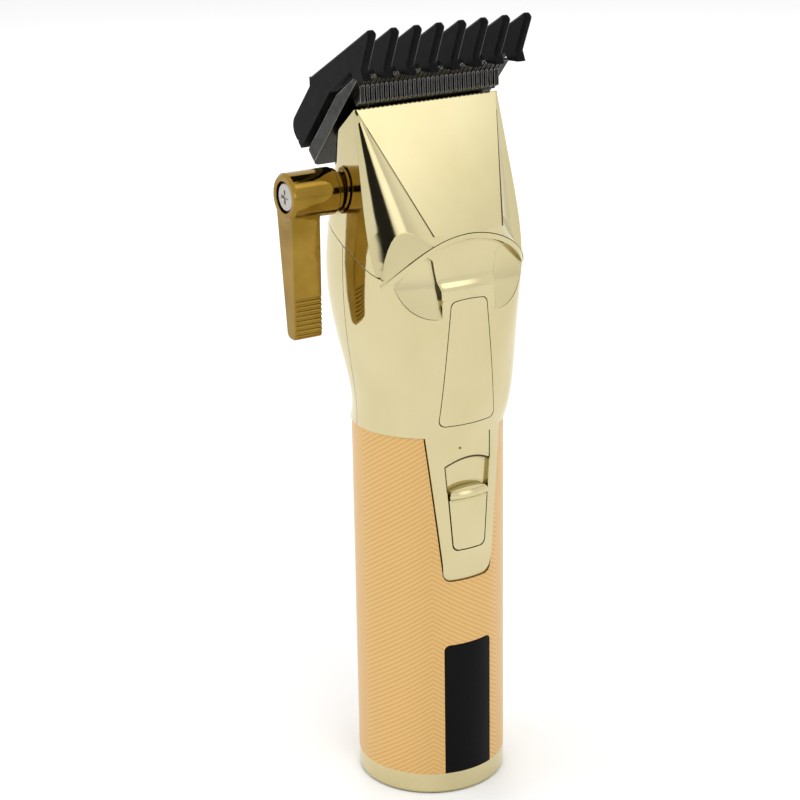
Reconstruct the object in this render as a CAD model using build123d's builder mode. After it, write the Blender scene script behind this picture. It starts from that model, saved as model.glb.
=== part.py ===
"""Cordless hair clipper with a side taper lever and a clip-on guide comb.

Millimetres. +Z runs up the handle, the origin is the middle of the foot,
the thumb side faces -Y and the taper lever is on the -X side.
"""

from build123d import *
from math import acos, cos, pi, radians, sin, sqrt, tan
import os

# Fits
seam = 0.2
snug = 0.02
running = 0.05
slip = 0.3

# Handle
handle_radius = 19.0
base_height = 5.7
base_round = 1.0
base_floor = 2.4
spigot_height = 5.0
spigot_wall = 1.5
sleeve_top = 97.5
sleeve_wall = 1.6

# Display window in the sleeve
window_top = 41.8
window_half_width = 6.8
window_corner = 1.5
window_thickness = 1.3

# Tongue of the front shell, over the sleeve
tongue_bottom = 59.3
tongue_half_top = 10.7
tongue_half_bottom = 6.6
tongue_corner = 2.2
tongue_lap = 6.0
tongue_crown = 0.5
tongue_proud = 0.4
tongue_thickness = 3.4
tongue_bevel = 5.0

# Upper body, heights counted from the sleeve's top edge
wall = 2.0
collar_squareness = 2.0
waist_rise = 21.5
waist_half_width = 21.2
waist_back = 19.7
waist_squareness = 2.6
shoulder_rise = 43.5
shoulder_half_width = 22.0
shoulder_back = 20.3
shoulder_squareness = 3.3
body_front = 19.6
neck_rise = 59.5
neck_half_width = 21.1
neck_back = 14.2
neck_squareness = 4.5
nape_rise = 69.5
nape_half_width = 20.5
nape_back = 11.6
nape_squareness = 6.0
crown_rise = 84.0
crown_half_width = 19.4
shell_seam_y = 2.0
section_points = 24

# Head: rim, shield face, facets and the wavy seam under them
rim_rise = 79.2
rim_y = -1.5
rim_half_width = 19.6
rim_slope = 39.5
blade_slope = 47.0
shield_foot_rise = 50.6
shield_foot_half_width = 9.5
facet_foot_rise = 41.5
facet_foot_half_width = 21.6
facet_foot_y = -11.0
facet_hollow = 25.0
facet_length = 60.0
arch_radius = 23.5
arch_apex_rise = 50.5
side_seam_rise = 45.4
side_seam_slope = 21.0
flange_width = 2.2
flange_back = 9.0

# Thumb dish and the trapezoid inlay
dish_rise = 42.5
dish_half_height = 12.0
dish_depth = 2.3
dish_sweep = 68.0
dish_rim = 1.2
spine_half_width = 7.4
spine_top_rise = 37.4
plate_bottom_rise = 3.0
plate_top_rise = 34.0
plate_half_bottom = 8.0
plate_half_top = 4.9
plate_corner = 1.6
plate_crown = 0.4
plate_thickness = 1.0

# Power switch
well_bottom = 67.4
well_top = 91.2
well_half_bottom = 4.7
well_half_top = 6.6
well_corner = 1.6
well_crown = 0.9
well_floor = 1.3
switch_length = 15.4
switch_travel = 4.5
switch_ridge = 0.7
switch_ridge_width = 2.2
stem_half_width = 1.4
stem_length = 3.4
stem_bottom = 73.4

# Inside the handle
chassis_wall = 1.5
chassis_plate = 2.0
board_y = -11.0
board_half_width = 12.0
board_thickness = 1.2
board_bottom = 14.0
board_top = 94.0
cell_radius = 9.1
cell_length = 65.0
cell_button_radius = 3.0
cell_button_height = 1.2
module_half_width = 4.7
module_height = 24.0
module_bottom = 14.5
block_half_width = 4.5
block_height = 12.0
socket_y = 8.0
socket_length = 9.0
socket_width = 3.3
socket_depth = 7.0
socket_shell = 0.35
socket_tongue = 0.7

# Motor and drive
motor_radius = 12.2
motor_length = 36.0
motor_nose_radius = 4.0
motor_nose_height = 3.0
bracket_plate = 2.0
bracket_half_width = 18.4
bracket_half_depth = 8.0
motor_screw_spacing = 16.0
motor_screw_radius = 1.25
motor_screw_head = 2.2
motor_screw_depth = 5.0
shaft_radius = 1.15
shaft_depth = 9.0
crank_radius = 4.6
crank_height = 6.0
crank_throw = 1.2
crank_web = 3.4
crank_floor = 1.0
crank_notch = 1.0
drive_pin_radius = 1.2
drive_pin_reach = 16.0

# Taper lever, axis along X
lever_y = 6.5
lever_rise = 58.7
lever_boss_radius = 5.75
lever_outer_x = -35.1
lever_inner_x = -22.9
lever_arm_length = 35.2
lever_arm_outer_x = -34.6
lever_arm_inner_x = -27.4
lever_front_top = 3.5
lever_front_end = 2.9
lever_back_end = 1.6
lever_end_round = 1.8
lever_neck_round = 4.0
lever_rib_count = 8
lever_rib_pitch = 1.2
lever_rib_depth = 0.25
lever_shaft_radius = 3.0
lever_shaft_end_x = -12.7
lever_shaft_outer_x = -32.7
lever_recess_radius = 3.9
lever_recess_depth = 1.5
lever_screw_radius = 1.3
lever_screw_depth = 6.0
lever_screw_head = 3.4
lever_screw_slot = 0.8
lever_edge_round = 0.6
bush_radius = 4.2
bush_flange = 5.3
bush_flange_thickness = 0.8
bush_inner_x = -15.5
bush_outer_x = -21.7
crank_pin_radius = 0.9
crank_pin_throw = 2.0
crank_pin_lead = 65.0
crank_pin_end_x = -7.8

# Blade set, in the blade frame: t towards the tips and n outwards, both from the rim
cutter_gap = 0.45
cutter_thickness = 2.15
cutter_rear_t = -7.6
cutter_tip_t = 5.35
cutter_shelf_t = 0.4
cutter_lip_t = 2.2
cutter_lip_drop = 0.55
cutter_half_width = 16.0
cutter_tooth_half_width = 19.3
tooth_pitch = 1.27
tooth_gap = 0.55
cutter_slot_t = 1.2
blade_gap = 0.05
blade_thickness = 3.75
blade_heel_t = -25.4
blade_tip_t = 8.25
blade_tip_thickness = 0.75
blade_taper_t = -2.5
blade_half_width = 21.0
blade_slot_t = 1.6
blade_corner = 2.0
bracket_rear_t = -14.2
bracket_front_t = -9.9
frame_top_n = -0.4
frame_depth = 7.6
rail_inner = 11.0
rail_outer = 14.3
rail_rear_t = -15.6
rail_front_t = -4.7
tie_rear_t = -17.2
tie_front_t = -15.4
tie_low_n = -6.9
tie_high_n = -5.4
ear_half_width = 18.1
ear_rear_t = -10.0
ear_front_t = -7.5
ear_low_n = -6.0
ear_high_n = -3.0
blade_screw_t = -12.0
blade_screw_radius = 1.25
blade_screw_head = 2.6

# Carriage that the lever moves along the blade
arm_inner = 7.2
arm_outer = 10.5
arm_rear_t = -15.5
arm_front_t = -3.8
arm_low_n = -2.6
arm_high_n = -0.75
bar_rear_t = -17.5
bar_front_t = -14.5
bar_low_n = -5.0
fork_outer_x = -11.5
fork_inner_x = -8.0
fork_prong = 0.9
fork_roof_low_n = -5.0
fork_roof_high_n = -4.0
fork_low_n = -7.6
leaf_rear_t = -7.5
leaf_thickness = 0.55
leaf_button_radius = 1.2
leaf_button_t = -5.6

# Yoke under the cutter
yoke_leg_inner = 3.8
yoke_leg_outer = 5.6
yoke_plate_rear_t = -7.4
yoke_plate_front_t = -3.4
yoke_plate_n = -1.2
yoke_leg_half_depth = 1.9
yoke_leg_foot_rise = 55.7
yoke_leg_knee_rise = 68.5

# Guide comb, in the blade frame
comb_count = 8
comb_pitch = 6.08
comb_tooth = 2.2
comb_tip_t = 24.6
comb_tip_n = 5.1
comb_tip_round = 1.2
comb_heel_t = -7.6
comb_heel_n = 16.1
comb_arm_n = 14.5
comb_arm_end_t = -24.4
comb_beak_t = 12.6
comb_beak_n = 1.0
comb_nub_t = 11.9
comb_nub_n = -0.8
comb_throat_t = 8.95
comb_throat_n = 2.0
comb_plate_thickness = 1.9
comb_plate_front_t = -4.0
comb_arm_round = 3.3
comb_edge = 0.6
clip_gap = 0.25
clip_thickness = 0.8
clip_rear_t = -26.4
clip_front_t = -5.0
clip_half_width = 19.6
clip_tab_half_width = 7.0
clip_tab_t = -24.2

# Screws through the rear shell into the motor bracket
shell_screw_spacing = 16.0
shell_screw_radius = 1.4
shell_screw_head = 2.6
shell_screw_head_height = 0.9
shell_screw_length = 5.0
bracket_block_half_width = 10.8
bracket_block_height = 7.0
bracket_block_y = 13.0
bracket_block_back = 17.0
shell_screw_seat = 18.5


# Heights and places worked out from the sizes above
sleeve_inner = handle_radius - sleeve_wall
spigot_radius = sleeve_inner - running
collar_radius = handle_radius + tongue_proud
rim_z = sleeve_top + rim_rise
lever_z = sleeve_top + lever_rise
chassis_radius = sleeve_inner - seam
chassis_bottom = base_height + spigot_height
chassis_top = sleeve_top - seam
arch_z = sleeve_top + arch_apex_rise - arch_radius
motor_bottom = chassis_top
motor_top = motor_bottom + motor_length
bracket_top = motor_top + bracket_plate
crank_bottom = bracket_top + motor_nose_height + slip
crank_top = crank_bottom + crank_height
cutter_bottom_n = cutter_gap
cutter_top_n = cutter_gap + cutter_thickness
blade_bottom_n = cutter_top_n + blade_gap
blade_top_n = blade_bottom_n + blade_thickness
clip_bottom_n = blade_top_n + clip_gap
clip_top_n = clip_bottom_n + clip_thickness

blade_frame = Plane(
    origin=(0, rim_y, rim_z),
    x_dir=(-1, 0, 0),
    z_dir=(0, sin(radians(blade_slope)), cos(radians(blade_slope))),
)
# Side view of the blade frame: local x runs along t and local y along n
blade_side = Plane(origin=blade_frame.origin, x_dir=blade_frame.y_dir, z_dir=(-1, 0, 0))
far = 4 * handle_radius
lever_in_blade = blade_side.to_local_coords(Vector(0, lever_y, lever_z))
lever_t = lever_in_blade.X
lever_crank_offset = (
    blade_side.x_dir * crank_pin_throw * cos(radians(crank_pin_lead))
    + blade_side.y_dir * crank_pin_throw * sin(radians(crank_pin_lead))
)


def section_outline(half_width, front, back, squareness):
    """Points of a rounded outline, a circle at squareness 2 and boxier above it."""
    middle = (back - front) / 2
    half_depth = (back + front) / 2
    power = 2 / squareness
    points = []
    for step in range(section_points):
        angle = 2 * pi * (step + 0.5) / section_points
        across = abs(cos(angle)) ** power
        along = abs(sin(angle)) ** power
        x = half_width * (across if cos(angle) > 0 else -across)
        y = half_depth * (along if sin(angle) > 0 else -along)
        points.append((x, middle + y))
    return points


def body_skin(inset):
    """Solid inside the upper body's outer surface moved inwards by inset."""
    stations = [
        (0, collar_radius, collar_radius, collar_radius, collar_squareness),
        (waist_rise, waist_half_width, body_front, waist_back, waist_squareness),
        (shoulder_rise, shoulder_half_width, body_front, shoulder_back, shoulder_squareness),
        (neck_rise, neck_half_width, body_front, neck_back, neck_squareness),
        (nape_rise, nape_half_width, body_front, nape_back, nape_squareness),
        (crown_rise, crown_half_width, body_front, nape_back, nape_squareness),
    ]
    with BuildPart() as skin:
        for rise, half_width, front, back, squareness in stations:
            outline = section_outline(half_width - inset, front - inset, back - inset, squareness)
            with BuildSketch(Plane.XY.offset(sleeve_top + rise)):
                with BuildLine():
                    Spline(*outline, periodic=True)
                make_face()
        loft()
    return skin.part


def front_prism(bottom, half_bottom, top, half_top, corner, crown, growth):
    """Upright trapezoid seen from the front, round at the corners and arched along the top."""
    top_left = (-half_top - growth, top + growth)
    top_right = (half_top + growth, top + growth)
    with BuildPart() as prism:
        with BuildSketch(Plane.XZ):
            with BuildLine():
                Polyline(
                    top_left,
                    (-half_bottom - growth, bottom - growth),
                    (half_bottom + growth, bottom - growth),
                    top_right,
                )
                ThreePointArc(top_right, (0, top + growth + crown), top_left)
            make_face()
            fillet(vertices(), corner)
        extrude(amount=far)
    return prism.part


def window_prism(growth):
    """Window outline seen from the front, open at the foot, through the front half."""
    with BuildPart() as prism:
        with BuildSketch(Plane.XZ):
            with Locations((0, base_height)):
                Rectangle(
                    2 * (window_half_width + growth),
                    window_top + growth - base_height,
                    align=(Align.CENTER, Align.MIN),
                )
            fillet(vertices().group_by(Axis.Y)[-1], window_corner)
        extrude(amount=far)
    return prism.part


def side_prism(outline):
    """Outline in the side view (y, z), drawn out past both sides of the body."""
    with BuildPart() as prism:
        with BuildSketch(Plane.YZ):
            with BuildLine():
                Polyline(*outline, close=True)
            make_face()
        extrude(amount=far, both=True)
    return prism.part


def blade_prism(outline, start_x, end_x):
    """Outline in the blade frame's side view (t, n), from one X to another."""
    with BuildPart() as prism:
        with BuildSketch(blade_side.offset(-end_x)):
            with BuildLine():
                Polyline(*outline, close=True)
            make_face()
        extrude(amount=end_x - start_x)
    return prism.part


def blade_box(start_x, end_x, start_t, end_t, start_n, end_n):
    """Block along the blade frame's axes."""
    outline = [(start_t, start_n), (end_t, start_n), (end_t, end_n), (start_t, end_n)]
    return blade_prism(outline, start_x, end_x)


def lever_disc(radius, start_x, end_x):
    """Round bar on the lever's axis, from one X to another."""
    with BuildPart() as disc:
        with BuildSketch(Plane.YZ.offset(start_x)):
            with Locations((lever_y, lever_z)):
                Circle(radius)
        extrude(amount=end_x - start_x)
    return disc.part


def dish_cutter(growth):
    """Ring round the body that hollows the thumb dish, grown by the wall for the inside."""
    radius = dish_half_height**2 / (2 * dish_depth) + dish_depth / 2
    with BuildPart() as cutter:
        with Locations((0, dish_depth - body_front + dish_sweep, sleeve_top + dish_rise)):
            Torus(dish_sweep + radius, radius + growth)
    return cutter.part


def head_zone(gap):
    """Space of the head cover: above the slanted side seam and outside the front arch."""
    drop = tan(radians(side_seam_slope)) * far
    middle = sleeve_top + side_seam_rise - gap
    wedge = side_prism(
        [(-far, middle - drop), (far, middle + drop), (far, middle + far), (-far, middle + far)]
    )
    with BuildPart() as zone:
        add(wedge)
        with BuildSketch(Plane.XZ):
            with Locations((0, arch_z)):
                Circle(arch_radius - gap)
        extrude(amount=far, mode=Mode.SUBTRACT)
    return zone.part


def shield_cutter(inset):
    """Everything in front of the flat shield face, moved inwards by inset."""
    foot = Vector(-body_front, sleeve_top + shield_foot_rise)
    rim = Vector(rim_y, rim_z)
    along = (rim - foot).normalized()
    inward = Vector(along.Y, -along.X) * inset
    low = foot + inward - along * far
    high = rim + inward + along * far
    outline = [(low.X, low.Y), (high.X, high.Y), (high.X - 2 * far, high.Y), (low.X - 2 * far, low.Y)]
    return side_prism(outline)


def facet_cutter(side, inset):
    """Cone with its tip at the rim corner that hollows the facet beside the shield."""
    tip = Vector(side * rim_half_width, rim_y, rim_z)
    shield_foot = Vector(side * shield_foot_half_width, -body_front, sleeve_top + shield_foot_rise)
    arris_foot = Vector(side * facet_foot_half_width, facet_foot_y, sleeve_top + facet_foot_rise)
    to_shield = (shield_foot - tip).normalized()
    to_arris = (arris_foot - tip).normalized()
    middle = (to_shield + to_arris).normalized()
    outward = to_shield.cross(to_arris).normalized() * side
    axis = middle * cos(radians(facet_hollow)) + outward * sin(radians(facet_hollow))
    half_angle = acos(axis.dot(to_shield))
    with BuildPart() as cutter:
        with Locations(Plane(origin=tip - outward * inset, z_dir=axis)):
            Cone(
                0,
                facet_length * tan(half_angle),
                facet_length,
                align=(Align.CENTER, Align.CENTER, Align.MIN),
            )
    return cutter.part


def toothed_plate(half_width, rear_t, tip_t, slot_t, low_n, high_n, count):
    """Flat plate in the blade frame with an even row of slots cut back from its front edge."""
    with BuildPart() as plate:
        with BuildSketch(blade_frame.offset(low_n)):
            with Locations((0, rear_t)):
                Rectangle(2 * half_width, tip_t - rear_t, align=(Align.CENTER, Align.MIN))
            with Locations((0, slot_t + far / 2)):
                with GridLocations(tooth_pitch, far, count, 1):
                    Rectangle(tooth_gap, far, mode=Mode.SUBTRACT)
        extrude(amount=high_n - low_n)
    return plate.part


# Handle

with BuildPart() as base_cap:
    with BuildSketch():
        Circle(handle_radius)
    extrude(amount=base_height)
    fillet(edges().group_by(Axis.Z)[0], base_round)
    with BuildSketch(Plane.XY.offset(base_height)):
        Circle(spigot_radius)
    extrude(amount=spigot_height)
    with BuildSketch(Plane.XY.offset(base_floor)):
        Circle(spigot_radius - spigot_wall)
    extrude(amount=base_height + spigot_height, mode=Mode.SUBTRACT)
    with BuildSketch():
        with Locations((0, socket_y)):
            SlotOverall(socket_length + 2 * running, socket_width + 2 * running)
    extrude(amount=base_floor, mode=Mode.SUBTRACT)

with BuildPart() as charge_socket:
    with BuildSketch(Plane.XY.offset(seam)):
        with Locations((0, socket_y)):
            SlotOverall(socket_length, socket_width)
    extrude(amount=socket_depth)
    with BuildSketch(Plane.XY.offset(base_floor)):
        with Locations((0, socket_y)):
            SlotOverall(socket_length + 2 * spigot_wall, socket_width + 2 * spigot_wall)
    extrude(amount=spigot_wall)
    with BuildSketch(Plane.XY.offset(seam)):
        with Locations((0, socket_y)):
            SlotOverall(socket_length - 2 * socket_shell, socket_width - 2 * socket_shell)
            Rectangle(socket_length - socket_width, socket_tongue, mode=Mode.SUBTRACT)
    extrude(amount=socket_depth - 2 * socket_shell, mode=Mode.SUBTRACT)

tongue_slope = (tongue_half_top - tongue_half_bottom) / (sleeve_top - tongue_bottom)
tongue_lap_top = sleeve_top + tongue_lap
tongue_lap_half = tongue_half_top + tongue_slope * tongue_lap
tongue_cutout = front_prism(
    tongue_bottom,
    tongue_half_bottom,
    tongue_lap_top,
    tongue_lap_half,
    tongue_corner,
    tongue_crown,
    seam,
)
window_cutout = window_prism(0)
with BuildPart() as grip_sleeve:
    with BuildSketch(Plane.XY.offset(base_height)):
        Circle(handle_radius)
        Circle(sleeve_inner, mode=Mode.SUBTRACT)
    extrude(amount=sleeve_top - seam - base_height)
    add(tongue_cutout, mode=Mode.SUBTRACT)
    add(window_cutout, mode=Mode.SUBTRACT)

window_back = handle_radius - running - window_thickness
window_pane = window_prism(-seam)
with BuildPart() as display_window:
    with BuildSketch(Plane.XY.offset(base_height)):
        Circle(handle_radius - running)
        Circle(window_back, mode=Mode.SUBTRACT)
    extrude(amount=window_top)
    add(window_pane, mode=Mode.INTERSECT)

# Inside the handle

with BuildPart() as chassis:
    with BuildSketch(Plane.XY.offset(chassis_bottom)):
        Circle(chassis_radius)
    extrude(amount=chassis_top - chassis_bottom)
    with BuildSketch(Plane.XY.offset(chassis_bottom + chassis_plate)):
        Circle(chassis_radius - chassis_wall)
    extrude(amount=chassis_top - chassis_bottom - 2 * chassis_plate, mode=Mode.SUBTRACT)
    with Locations((0, board_y, chassis_bottom)):
        Box(
            far,
            far,
            sleeve_top,
            align=(Align.CENTER, Align.MAX, Align.MIN),
            mode=Mode.SUBTRACT,
        )

cell_bottom = chassis_bottom + chassis_plate
cell_y = chassis_radius - chassis_wall - slip - cell_radius
with BuildPart() as battery_cell:
    with BuildSketch(Plane.XY.offset(cell_bottom)):
        with Locations((0, cell_y)):
            Circle(cell_radius)
    extrude(amount=cell_length)
    with BuildSketch(Plane.XY.offset(cell_bottom + cell_length)):
        with Locations((0, cell_y)):
            Circle(cell_button_radius)
    extrude(amount=cell_button_height)

with BuildPart() as main_board:
    with BuildSketch(Plane.XZ.offset(-board_y)):
        with Locations((0, board_bottom)):
            Rectangle(
                2 * board_half_width, board_top - board_bottom, align=(Align.CENTER, Align.MIN)
            )
    extrude(amount=board_thickness)

board_front = board_thickness - board_y
module_front = sqrt(window_back**2 - module_half_width**2) - slip
with BuildPart() as display_module:
    with BuildSketch(Plane.XZ.offset(board_front)):
        with Locations((0, module_bottom)):
            Rectangle(2 * module_half_width, module_height, align=(Align.CENTER, Align.MIN))
    extrude(amount=module_front - board_front)

tongue_inner = collar_radius - tongue_thickness
block_front = sqrt(tongue_inner**2 - block_half_width**2) - slip
with BuildPart() as switch_block:
    with BuildSketch(Plane.XZ.offset(board_front)):
        with Locations((0, stem_bottom + (stem_length + switch_travel) / 2)):
            Rectangle(2 * block_half_width, block_height)
    extrude(amount=block_front - board_front)

# Upper body

outer_skin = body_skin(0)
inner_skin = body_skin(wall)
dish = dish_cutter(0)
dish_back = dish_cutter(wall)
head_space = head_zone(0)
head_clearance = head_zone(seam)
shield_front = shield_cutter(0)
shield_back = shield_cutter(wall)

# The dish stops at a rim inside the arch, and the spine with the inlay stands up through its foot
with BuildPart() as dish_hollow:
    with BuildSketch(Plane.XZ):
        with Locations((0, arch_z)):
            Circle(arch_radius - seam - dish_rim)
    extrude(amount=far)
    add(dish, mode=Mode.INTERSECT)
    with BuildSketch(Plane.XZ):
        with Locations((0, sleeve_top)):
            Rectangle(2 * spine_half_width, spine_top_rise, align=(Align.CENTER, Align.MIN))
        fillet(vertices().group_by(Axis.Y)[-1], plate_corner + (spine_half_width - plate_half_top))
    extrude(amount=far, mode=Mode.SUBTRACT)

inlay_prism = front_prism(
    sleeve_top + plate_bottom_rise,
    plate_half_bottom,
    sleeve_top + plate_top_rise,
    plate_half_top,
    plate_corner,
    plate_crown,
    0,
)
inlay_bed_prism = front_prism(
    sleeve_top + plate_bottom_rise,
    plate_half_bottom,
    sleeve_top + plate_top_rise,
    plate_half_top,
    plate_corner,
    plate_crown,
    seam,
)
inlay_skin = body_skin(plate_thickness)
inlay_bed_skin = body_skin(plate_thickness + snug)
with BuildPart() as inlay_bed:
    add(inlay_bed_prism)
    add(inlay_bed_skin, mode=Mode.SUBTRACT)

with BuildPart() as thumb_plate:
    add(outer_skin)
    add(inlay_skin, mode=Mode.SUBTRACT)
    add(inlay_prism, mode=Mode.INTERSECT)

tongue_outline = front_prism(
    tongue_bottom,
    tongue_half_bottom,
    tongue_lap_top,
    tongue_lap_half,
    tongue_corner,
    tongue_crown,
    0,
)
collar_outline = section_outline(collar_radius, collar_radius, collar_radius, collar_squareness)
with BuildPart() as tongue:
    with BuildSketch(Plane.XY.offset(sleeve_top)):
        with BuildLine():
            Spline(*collar_outline, periodic=True)
        make_face()
    extrude(amount=tongue_bottom - sleeve_top)
    chamfer(edges().group_by(Axis.Z)[0], length=tongue_bevel, length2=2 * tongue_proud)
    with BuildSketch(Plane.XY.offset(sleeve_top)):
        Circle(collar_radius - wall / 2)
    extrude(amount=wall)
    with BuildSketch(Plane.XY.offset(tongue_bottom)):
        Circle(tongue_inner)
    extrude(amount=sleeve_top + wall - tongue_bottom, mode=Mode.SUBTRACT)
    add(tongue_outline, mode=Mode.INTERSECT)

well_front = tongue_inner + well_floor
well_outline = front_prism(
    well_bottom, well_half_bottom, well_top, well_half_top, well_corner, well_crown, 0
)
with BuildPart() as switch_well:
    add(well_outline)
    with Locations((0, -well_front, well_top)):
        Box(far, far, 2 * far, align=(Align.CENTER, Align.MIN, Align.CENTER), mode=Mode.SUBTRACT)
    with BuildSketch(Plane.XZ):
        with Locations((0, stem_bottom - slip)):
            Rectangle(
                2 * (stem_half_width + slip),
                stem_length + switch_travel + 2 * slip,
                align=(Align.CENTER, Align.MIN),
            )
    extrude(amount=far)

# A flange left standing inside the shell closes the view under the arch
with BuildPart() as inner_core:
    add(inner_skin)
    add(dish_back, mode=Mode.SUBTRACT)
    with BuildSketch(Plane.XZ.offset(flange_back)):
        with Locations((0, arch_z)):
            Circle(arch_radius)
            Circle(arch_radius - seam - flange_width, mode=Mode.SUBTRACT)
            Rectangle(far, far, align=(Align.CENTER, Align.MAX), mode=Mode.SUBTRACT)
    extrude(amount=far, mode=Mode.SUBTRACT)

with BuildPart() as front_shell:
    add(outer_skin)
    add(dish_hollow.part, mode=Mode.SUBTRACT)
    add(inner_core.part, mode=Mode.SUBTRACT)
    add(head_clearance, mode=Mode.SUBTRACT)
    with Locations((0, shell_seam_y - seam / 2, sleeve_top)):
        Box(far, far, 3 * far, align=(Align.CENTER, Align.MIN, Align.CENTER), mode=Mode.SUBTRACT)
    add(tongue.part)
    add(switch_well.part, mode=Mode.SUBTRACT)
    add(inlay_bed.part, mode=Mode.SUBTRACT)

shell_screw_z = motor_top + bracket_plate / 2
with BuildPart() as rear_shell:
    add(outer_skin)
    add(inner_skin, mode=Mode.SUBTRACT)
    add(head_clearance, mode=Mode.SUBTRACT)
    with Locations((0, shell_seam_y + seam / 2, sleeve_top)):
        Box(far, far, 3 * far, align=(Align.CENTER, Align.MAX, Align.CENTER), mode=Mode.SUBTRACT)
    with BuildSketch(Plane.XZ.offset(-shell_seam_y)):
        with Locations((0, shell_screw_z)):
            with GridLocations(shell_screw_spacing, far, 2, 1):
                Circle(shell_screw_radius + running)
    extrude(amount=-far, mode=Mode.SUBTRACT)
    with BuildSketch(Plane.XZ.offset(-shell_screw_seat)):
        with Locations((0, shell_screw_z)):
            with GridLocations(shell_screw_spacing, far, 2, 1):
                Circle(shell_screw_head + running)
    extrude(amount=-far, mode=Mode.SUBTRACT)

with BuildPart() as shell_screws:
    with BuildSketch(Plane.XZ.offset(-shell_screw_seat)):
        with Locations((0, shell_screw_z)):
            with GridLocations(shell_screw_spacing, far, 2, 1):
                Circle(shell_screw_radius)
    extrude(amount=shell_screw_length)
    with BuildSketch(Plane.XZ.offset(-shell_screw_seat)):
        with Locations((0, shell_screw_z)):
            with GridLocations(shell_screw_spacing, far, 2, 1):
                Circle(shell_screw_head)
    extrude(amount=-shell_screw_head_height)

# Head cover: hollow nose with the shield, the facets, the slanted rim and the lever's hole

facets = [facet_cutter(side, 0) for side in (-1, 1)]
facet_backs = [facet_cutter(side, wall) for side in (-1, 1)]
with BuildPart() as head_core:
    add(inner_skin)
    add(shield_back, mode=Mode.SUBTRACT)
    add(facet_backs, mode=Mode.SUBTRACT)

rim_fall = tan(radians(rim_slope)) * far
rim_cutter = side_prism(
    [
        (rim_y - far, rim_z + rim_fall),
        (rim_y + far, rim_z - rim_fall),
        (rim_y + far, rim_z + 2 * far),
        (rim_y - far, rim_z + 2 * far),
    ]
)
cutter_pocket = blade_box(
    -rim_half_width + wall, rim_half_width - wall, cutter_rear_t, far, cutter_gap - slip, far
)
bracket_pocket = blade_box(
    -rail_outer - slip, rail_outer + slip, bracket_rear_t - slip, cutter_rear_t, frame_top_n, far
)
bush_hole = lever_disc(bush_radius + running, lever_outer_x, lever_shaft_end_x)
with BuildPart() as head_cover:
    add(outer_skin)
    add(head_space, mode=Mode.INTERSECT)
    add(shield_front, mode=Mode.SUBTRACT)
    add(facets, mode=Mode.SUBTRACT)
    add(head_core.part, mode=Mode.SUBTRACT)
    add(rim_cutter, mode=Mode.SUBTRACT)
    add(cutter_pocket, mode=Mode.SUBTRACT)
    add(bracket_pocket, mode=Mode.SUBTRACT)
    add(bush_hole, mode=Mode.SUBTRACT)

# Power switch

well_slope = (well_half_top - well_half_bottom) / (well_top - well_bottom)
switch_top = well_bottom + slip + switch_length
switch_outline = front_prism(
    well_bottom + slip,
    well_half_bottom - slip,
    switch_top,
    well_half_bottom - slip + well_slope * switch_length,
    well_corner,
    well_crown,
    0,
)
with BuildPart() as power_switch:
    with BuildSketch(Plane.XY.offset(well_bottom)):
        Circle(collar_radius)
    extrude(amount=well_top - well_bottom)
    with BuildSketch(Plane.XY.offset(switch_top - switch_ridge_width)):
        Circle(collar_radius + switch_ridge)
    extrude(amount=switch_ridge_width)
    chamfer(edges().filter_by(GeomType.CIRCLE).group_by(SortBy.RADIUS)[-1], switch_ridge - running)
    with Locations((0, -well_front - running, 0)):
        Box(far, far, 3 * far, align=(Align.CENTER, Align.MIN, Align.CENTER), mode=Mode.SUBTRACT)
    add(switch_outline, mode=Mode.INTERSECT)
    with BuildSketch(Plane.XZ.offset(block_front + running)):
        with Locations((0, stem_bottom)):
            Rectangle(2 * stem_half_width, stem_length, align=(Align.CENTER, Align.MIN))
    extrude(amount=well_front + 2 * running - block_front)

# Motor and drive

with BuildPart() as motor_can:
    with BuildSketch(Plane.XY.offset(motor_bottom)):
        Circle(motor_radius)
    extrude(amount=motor_length)
    fillet(edges().group_by(Axis.Z)[-1], slip)
    with BuildSketch(Plane.XY.offset(motor_top)):
        Circle(motor_nose_radius)
    extrude(amount=bracket_plate + motor_nose_height)
    with BuildSketch(Plane.XY.offset(bracket_top + motor_nose_height)):
        Circle(shaft_radius + running)
    extrude(amount=-shaft_depth - running, mode=Mode.SUBTRACT)
    with BuildSketch(Plane.XY.offset(motor_top)):
        with GridLocations(motor_screw_spacing, far, 2, 1):
            Circle(motor_screw_radius)
    extrude(amount=-motor_screw_depth, mode=Mode.SUBTRACT)

with BuildPart() as motor_bracket:
    with BuildSketch(Plane.XY.offset(motor_top)):
        Rectangle(2 * bracket_half_width, 2 * bracket_half_depth)
        with Locations((0, bracket_half_depth)):
            Rectangle(
                2 * bracket_block_half_width,
                bracket_block_y - bracket_half_depth + bracket_plate,
                align=(Align.CENTER, Align.MIN),
            )
        Circle(motor_nose_radius + running, mode=Mode.SUBTRACT)
        with GridLocations(motor_screw_spacing, far, 2, 1):
            Circle(motor_screw_radius + running, mode=Mode.SUBTRACT)
    extrude(amount=bracket_plate)
    with Locations((0, bracket_block_y, shell_screw_z)):
        Box(
            2 * bracket_block_half_width,
            bracket_block_back - bracket_block_y,
            bracket_block_height,
            align=(Align.CENTER, Align.MIN, Align.CENTER),
        )
    with BuildSketch(Plane.XZ.offset(-bracket_block_back)):
        with Locations((0, shell_screw_z)):
            with GridLocations(shell_screw_spacing, far, 2, 1):
                Circle(shell_screw_radius + snug)
    extrude(amount=bracket_block_back - bracket_block_y, mode=Mode.SUBTRACT)

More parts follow.
